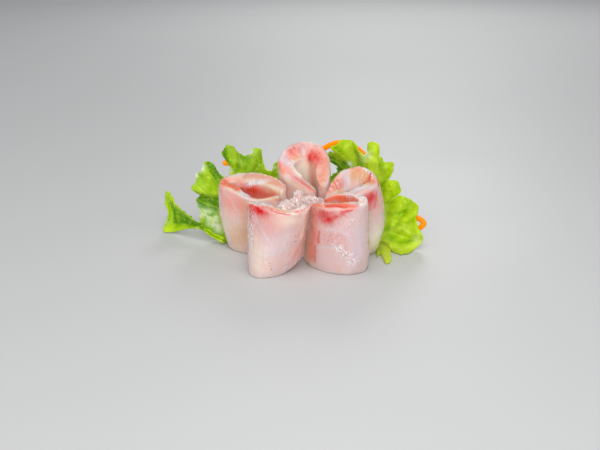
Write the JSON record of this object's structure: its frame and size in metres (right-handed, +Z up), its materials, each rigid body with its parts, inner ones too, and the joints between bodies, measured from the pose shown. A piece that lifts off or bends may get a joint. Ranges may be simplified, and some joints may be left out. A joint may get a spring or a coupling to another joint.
{
  "type": "sashimi serving",
  "caption": "Raw white fish slices folded into loops and stood as a rosette round clear shreds, with frilly lettuce leaves and carrot strands behind.",
  "frame": {"origin": "middle of the footprint, on the surface that the food stands on", "axes": "+X to the right and along the widest extent, +Y to the back where the lettuce stands, +Z up"},
  "size_m": [0.1235, 0.0752, 0.0484],
  "materials": {
    "fish": "wet raw white fish, translucent pinkish white with salmon and red patches",
    "shreds": "wet clear jelly-like shreds",
    "lettuce": "crisp bright yellow-green leaf with a waxy sheen",
    "carrot": "moist orange root strand"
  },
  "bodies": {
    "root": {"slice_front_left": "fish", "slice_front_right": "fish", "slice_right": "fish", "slice_back": "fish", "slice_left": "fish", "mound": "shreds", "lettuce_right": "lettuce", "lettuce_middle": "lettuce", "lettuce_back": "lettuce", "lettuce_left": "lettuce", "lettuce_boat": "lettuce", "carrot_top": "carrot", "carrot_left": "carrot", "carrot_right": "carrot"}
  },
  "joints": []
}
